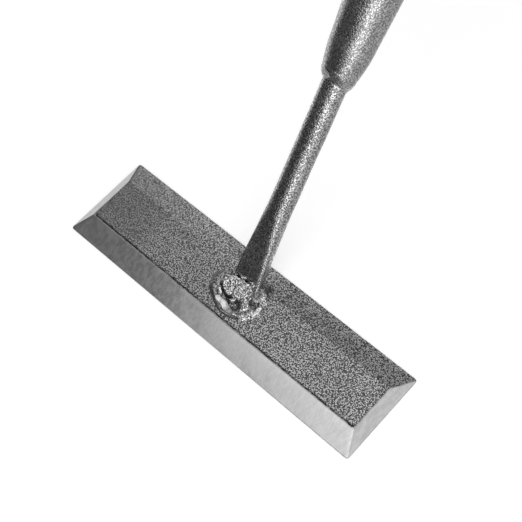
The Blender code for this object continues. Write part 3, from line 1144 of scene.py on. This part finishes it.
# Cards that only reflections see: the name, the tone that metal mirrors, and the corners in metres,
# two at the near or lower edge and two at the other
CARDS = (
    ("front_flag", 0.02, (-0.25, -0.43, 0), (0.31, -0.43, 0), (-0.25, -0.43, 0.637), (0.27, -0.43, 0.29)),
    ("left_flag", 0.02, (-0.46, -0.1, 0), (-0.25, -0.43, 0), (-0.46, -0.1, 0.22), (-0.25, -0.43, 0.22)),
    (
        "left_paper",
        0.12,
        (-0.46, -0.1, 0.22),
        (-0.25, -0.43, 0.22),
        (-0.46, -0.1, 0.575),
        (-0.25, -0.43, 0.565),
    ),
    ("low_flag", 0.02, (-0.5, -0.5, LOW), (0.2, -0.5, LOW), (-0.5, 0, LOW), (0.03, -0.03, LOW)),
    ("far_left_flag", 0.05, (-0.46, 0.5, 0.02), (-0.46, -0.1, 0.02), (-0.46, 0.5, 0.2), (-0.46, -0.1, 0.2)),
    ("right_paper", 0.48, (0.03, -0.3, LOW), (0.6, -0.3, LOW), (0, 0.5, LOW), (0.6, 0.5, LOW)),
    (
        "end_paper",
        0.82,
        (-0.13, -0.04, LOWEST),
        (-0.0753, -0.04, LOWEST),
        (-0.13, 0.05, LOWEST),
        (-0.0753, 0.05, LOWEST),
    ),
    ("right_wall", 0.45, (0.6, -0.25, 0), (0.6, 0.5, 0), (0.6, -0.25, 0.17), (0.6, 0.5, 0.17)),
    ("back_flag", 0.18, (-0.15, 0.48, 0.15), (0.25, 0.48, 0.15), (-0.15, 0.48, 0.5), (0.25, 0.48, 0.5)),
)

# The floor: its radius, how far it lies under the sole, and how brightly it shows to the camera and in
# reflections besides the light that falls on it
FLOOR_RADIUS = 14
FLOOR_DROP = 0.1 * MM
FLOOR_GLOW = 0.37


def studio_paper():
    """Paper whose faint clouding keeps it from one flat tone, with a little glow of its own."""
    material, tree, shader, place = new_material("studio_paper")
    clouds = spread(tree, mottle(tree, place, 3.0, 2.0), 0.985, 1.0)
    rays = add_node(tree, "LightPath").outputs
    seen = plus(tree, rays["Is Camera Ray"], rays["Is Glossy Ray"])
    seen = calculate(tree, "ADD", seen, rays["Is Transmission Ray"], clamp=True)
    looks = {
        "Base Color": toned(tree, opaque(settings().finishes.floor), clouds),
        "Roughness": 0.9,
        "Specular IOR Level": 0.0,
        "Emission Color": (1, 1, 1, 1),
        "Emission Strength": times(tree, seen, FLOOR_GLOW),
    }
    feed(tree, shader, looks)
    return material


def softbox(name, direction, distance, level, width, height, radiance):
    """A rectangular lamp that faces the head from a direction. Its width runs along level."""
    deselect()
    bpy.ops.object.light_add(type="AREA")
    lamp = name_new(name)
    lamp.data.shape = "RECTANGLE"
    lamp.data.size = width
    lamp.data.size_y = height
    lamp.data.energy = radiance * math.pi * width * height
    back = Vector(direction).normalized()
    up = back.cross(Vector(level)).normalized()
    turn = Matrix((up.cross(back), up, back)).transposed().to_4x4()
    lamp.matrix_world = Matrix.Translation(HEAD_MIDDLE + back * distance) @ turn
    lamp.visible_camera = False


def reflected_card(name, tone, corners):
    """A card of one tone that only reflections see, as a studio sets one beside bright metal."""
    deselect()
    bpy.ops.mesh.primitive_plane_add(size=1)
    card = name_new(name)
    for vertex, corner in zip(card.data.vertices, corners):
        vertex.co = corner
    material = bpy.data.materials.new(name)
    material.use_nodes = True
    tree = material.node_tree
    looks = {"Base Color": grey(0.02), "Emission Color": (1, 1, 1, 1), "Emission Strength": tone}
    feed(tree, tree.nodes["Principled BSDF"], looks)
    card.data.materials.append(material)
    card.visible_camera = False
    card.visible_diffuse = False
    card.visible_shadow = False
    card.visible_transmission = False


class HOE_OT_studio(Operator):
    """Sets the floor, the lamps, the cards and the camera"""

    bl_idname = "hoe.studio"
    bl_label = "Studio"

    def execute(self, context):
        deselect()
        bpy.ops.mesh.primitive_circle_add(
            vertices=96, radius=FLOOR_RADIUS, fill_type="NGON", location=(0, 0, -FLOOR_DROP)
        )
        floor = name_new("floor")
        floor.data.materials.append(studio_paper())
        softbox("top_softbox", (0.219, -0.615, 0.757), 1.0, (0.694, 0.634, 0.339), 1.05, 1.27, 0.60)
        softbox("front_softbox", (0.75, -0.61, 0.26), 0.6, (0.61, 0.75, 0), 0.57, 0.6, 1.02)
        softbox("right_softbox", (0.88, 0.22, 0.42), 1.0, (-0.22, 0.88, 0), 0.7, 0.5, 0.20)
        self.set_world(context)
        for name, tone, *corners in CARDS:
            reflected_card(name, tone, corners)
        self.set_camera(context)
        context.scene.view_settings.view_transform = "Standard"
        return {"FINISHED"}

    def set_world(self, context):
        """Pale at the horizon and greyer overhead, as a room with a dark ceiling."""
        world = bpy.data.worlds.new("pale_room")
        world.use_nodes = True
        tree = world.node_tree
        background = tree.nodes["Background"]
        x, y, z = split(tree, add_node(tree, "TexCoord").outputs["Generated"])
        overhead = ramp(tree, z, 0.1, 0.5)
        from_left = ramp(tree, x, -0.6, -0.1, 0.25, 0.69)
        towards_back = ramp(tree, y, 0.4, 0.75, 1.0, 1.25)
        tone = mix_colours(tree, overhead, grey(0.85), times(tree, from_left, towards_back))
        feed(tree, background, {"Color": tone, "Strength": 1.0})
        context.scene.world = world

    def set_camera(self, context):
        deselect()
        bpy.ops.object.camera_add()
        camera = name_new("photo_camera")
        turn = Matrix((CAMERA_RIGHT, CAMERA_UP, CAMERA_BACK)).transposed().to_4x4()
        camera.matrix_world = Matrix.Translation(CAMERA_PLACE) @ turn
        camera.data.lens = CAMERA_LENS
        camera.data.sensor_width = SENSOR_WIDTH
        camera.data.clip_start = 10 * MM
        context.scene.camera = camera


class HoeSettings(PropertyGroup):
    blade: PointerProperty(type=BladeSizes)
    neck: PointerProperty(type=NeckSizes)
    weld: PointerProperty(type=WeldSizes)
    socket: PointerProperty(type=SocketSizes)
    handle: PointerProperty(type=HandleSizes)
    screw: PointerProperty(type=ScrewSizes)
    finishes: PointerProperty(type=Finishes)


OPERATORS = (
    HOE_OT_blade,
    HOE_OT_neck,
    HOE_OT_blade_weld,
    HOE_OT_socket,
    HOE_OT_socket_weld,
    HOE_OT_handle,
    HOE_OT_screw,
    HOE_OT_studio,
)


class HOE_PT_panel(Panel):
    """Lists the steps that make the hoe"""

    bl_idname = "HOE_PT_panel"
    bl_label = "Dutch hoe"
    bl_space_type = "VIEW_3D"
    bl_region_type = "UI"
    bl_category = "Hoe"

    def draw(self, context):
        for operator in OPERATORS:
            self.layout.operator(operator.bl_idname)


CLASSES = (
    BladeSizes,
    NeckSizes,
    WeldSizes,
    SocketSizes,
    HandleSizes,
    ScrewSizes,
    Finishes,
    HoeSettings,
    *OPERATORS,
    HOE_PT_panel,
)


def register():
    for cls in CLASSES:
        bpy.utils.register_class(cls)
    bpy.types.Scene.hoe = PointerProperty(type=HoeSettings)


def unregister():
    del bpy.types.Scene.hoe
    for cls in reversed(CLASSES):
        bpy.utils.unregister_class(cls)


def main():
    register()
    for operator in OPERATORS:
        module, name = operator.bl_idname.split(".")
        done = getattr(getattr(bpy.ops, module), name)()
        if done != {"FINISHED"}:
            raise RuntimeError(operator.bl_label + " was not finished")


if __name__ == "__main__":
    main()
